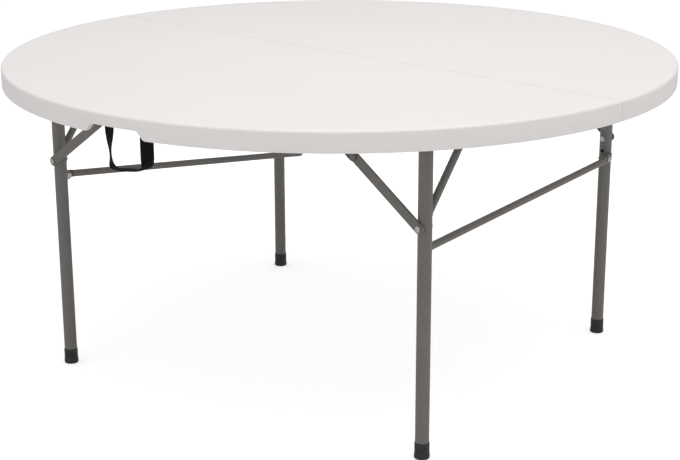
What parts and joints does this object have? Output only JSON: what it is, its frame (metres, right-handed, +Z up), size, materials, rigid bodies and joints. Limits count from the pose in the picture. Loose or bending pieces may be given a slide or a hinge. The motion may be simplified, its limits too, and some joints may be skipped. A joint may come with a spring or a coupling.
{
  "type": "folding table",
  "caption": "Round folding table with a two-piece moulded top that folds in half, folding tube legs with lock braces, hinged tie rods and a carrying strap.",
  "frame": {"origin": "on the floor under the middle of the round top, on the fold line", "axes": "+Z up; +Y along the fold line; +X across the fold line, from the half with the notch and strap to the plain half"},
  "size_m": [1.5398, 1.54, 0.73],
  "materials": {
    "top_shell": "fine-textured blow-moulded polyethylene, warm off-white, satin",
    "grey_paint": "powder coat on steel tube and pressed sheet, warm mid grey, satin",
    "black_plastic": "moulded, near black, satin",
    "zinc": "bright zinc plating, slightly dull",
    "webbing": "woven polypropylene webbing, black"
  },
  "bodies": {
    "half_b": {"top_half_b": "top_shell", "centre_rail_b": "grey_paint", "fold_leaves_b": "zinc", "fold_pins": "zinc", "leg_saddles_b": "grey_paint", "lock_brackets_b": "grey_paint", "leg_clips_b": "black_plastic", "screws_b": "zinc"},
    "half_a": {"top_half_a": "top_shell", "centre_rail_a": "grey_paint", "fold_leaves_a": "zinc", "leg_saddles_a": "grey_paint", "lock_brackets_a": "grey_paint", "leg_clips_a": "black_plastic", "screws_a": "zinc", "strap_brackets": "zinc", "strap_rivets": "zinc"},
    "leg_front_left": {"leg_tube_front_left": "grey_paint", "hinge_tube_front_left": "grey_paint", "side_brace_front_left": "grey_paint", "foot_front_left": "black_plastic", "lock_rivet_front_left": "zinc"},
    "lower_link_front_left": {"lower_link_front_left": "grey_paint"},
    "upper_link_front_left": {"upper_link_front_left": "grey_paint"},
    "leg_front_right": {"leg_tube_front_right": "grey_paint", "hinge_tube_front_right": "grey_paint", "side_brace_front_right": "grey_paint", "foot_front_right": "black_plastic", "lock_rivet_front_right": "zinc", "rod_bracket_front": "grey_paint", "rod_rivet_front": "zinc"},
    "lower_link_front_right": {"lower_link_front_right": "grey_paint"},
    "upper_link_front_right": {"upper_link_front_right": "grey_paint"},
    "leg_rear_left": {"leg_tube_rear_left": "grey_paint", "hinge_tube_rear_left": "grey_paint", "side_brace_rear_left": "grey_paint", "foot_rear_left": "black_plastic", "lock_rivet_rear_left": "zinc", "rod_bracket_rear": "grey_paint", "rod_rivet_rear": "zinc"},
    "lower_link_rear_left": {"lower_link_rear_left": "grey_paint"},
    "upper_link_rear_left": {"upper_link_rear_left": "grey_paint"},
    "leg_rear_right": {"leg_tube_rear_right": "grey_paint", "hinge_tube_rear_right": "grey_paint", "side_brace_rear_right": "grey_paint", "foot_rear_right": "black_plastic", "lock_rivet_rear_right": "zinc"},
    "lower_link_rear_right": {"lower_link_rear_right": "grey_paint"},
    "upper_link_rear_right": {"upper_link_rear_right": "grey_paint"},
    "tie_rod_front": {"tie_rod_front": "grey_paint"},
    "tie_rod_rear": {"tie_rod_rear": "grey_paint"},
    "carry_strap": {"carry_strap": "webbing"}
  },
  "joints": [
    {"name": "top_fold", "type": "hinge", "parent": "half_b", "child": "half_a", "pos_m": [0, 0, 0.658], "axis": [0, -1, 0], "range_deg": [0, 115]},
    {"name": "leg_fold_front_left", "type": "hinge", "parent": "half_a", "child": "leg_front_left", "pos_m": [-0.35008, -0.54909, 0.688], "axis": [1, 0, 0], "range_deg": [0, 90]},
    {"name": "lower_link_front_left_turn", "type": "hinge", "parent": "leg_front_left", "child": "lower_link_front_left", "pos_m": [-0.36833, -0.54909, 0.5], "axis": [1, 0, 0], "range_deg": [-125.5, 0]},
    {"name": "upper_link_front_left_turn", "type": "hinge", "parent": "half_a", "child": "upper_link_front_left", "pos_m": [-0.37383, -0.27609, 0.688], "axis": [1, 0, 0], "range_deg": [0, 146]},
    {"name": "leg_fold_front_right", "type": "hinge", "parent": "half_b", "child": "leg_front_right", "pos_m": [0.50593, -0.40999, 0.688], "axis": [1, 0, 0], "range_deg": [0, 90]},
    {"name": "lower_link_front_right_turn", "type": "hinge", "parent": "leg_front_right", "child": "lower_link_front_right", "pos_m": [0.52418, -0.40999, 0.5], "axis": [1, 0, 0], "range_deg": [-125.5, 0]},
    {"name": "upper_link_front_right_turn", "type": "hinge", "parent": "half_b", "child": "upper_link_front_right", "pos_m": [0.52968, -0.13699, 0.688], "axis": [1, 0, 0], "range_deg": [0, 146]},
    {"name": "leg_fold_rear_left", "type": "hinge", "parent": "half_a", "child": "leg_rear_left", "pos_m": [-0.50593, 0.40999, 0.688], "axis": [-1, 0, 0], "range_deg": [0, 90]},
    {"name": "lower_link_rear_left_turn", "type": "hinge", "parent": "leg_rear_left", "child": "lower_link_rear_left", "pos_m": [-0.52418, 0.40999, 0.5], "axis": [-1, 0, 0], "range_deg": [-125.5, 0]},
    {"name": "upper_link_rear_left_turn", "type": "hinge", "parent": "half_a", "child": "upper_link_rear_left", "pos_m": [-0.52968, 0.13699, 0.688], "axis": [-1, 0, 0], "range_deg": [0, 146]},
    {"name": "leg_fold_rear_right", "type": "hinge", "parent": "half_b", "child": "leg_rear_right", "pos_m": [0.35008, 0.54909, 0.688], "axis": [-1, 0, 0], "range_deg": [0, 90]},
    {"name": "lower_link_rear_right_turn", "type": "hinge", "parent": "leg_rear_right", "child": "lower_link_rear_right", "pos_m": [0.36833, 0.54909, 0.5], "axis": [-1, 0, 0], "range_deg": [-125.5, 0]},
    {"name": "upper_link_rear_right_turn", "type": "hinge", "parent": "half_b", "child": "upper_link_rear_right", "pos_m": [0.37383, 0.27609, 0.688], "axis": [-1, 0, 0], "range_deg": [0, 146]},
    {"name": "tie_rod_front_turn", "type": "hinge", "parent": "leg_front_right", "child": "tie_rod_front", "pos_m": [0.47993, -0.43449, 0.456], "axis": [0.1067, -0.9927, -0.0567], "range_deg": [0, 62]},
    {"name": "tie_rod_rear_turn", "type": "hinge", "parent": "leg_rear_left", "child": "tie_rod_rear", "pos_m": [-0.47993, 0.43449, 0.456], "axis": [0, 1, 0], "range_deg": [-7.4, 55]},
    {"name": "carry_strap_swing", "type": "hinge", "parent": "half_a", "child": "carry_strap", "pos_m": [-0.71896, -0.09338, 0.7], "axis": [-0.1288, 0.9917, 0], "range_deg": [0, 66]}
  ],
  "couplings": [
    {"joint": "lower_link_front_left_turn", "follows": "leg_fold_front_left", "ratio": -1.3839},
    {"joint": "upper_link_front_left_turn", "follows": "leg_fold_front_left", "ratio": 1.6161},
    {"joint": "lower_link_front_right_turn", "follows": "leg_fold_front_right", "ratio": -1.3839},
    {"joint": "upper_link_front_right_turn", "follows": "leg_fold_front_right", "ratio": 1.6161},
    {"joint": "lower_link_rear_left_turn", "follows": "leg_fold_rear_left", "ratio": -1.3839},
    {"joint": "upper_link_rear_left_turn", "follows": "leg_fold_rear_left", "ratio": 1.6161},
    {"joint": "lower_link_rear_right_turn", "follows": "leg_fold_rear_right", "ratio": -1.3839},
    {"joint": "upper_link_rear_right_turn", "follows": "leg_fold_rear_right", "ratio": 1.6161},
    {"joint": "tie_rod_front_turn", "follows": "top_fold", "ratio": 0.52932},
    {"joint": "tie_rod_rear_turn", "follows": "top_fold", "ratio": 0.47478}
  ]
}
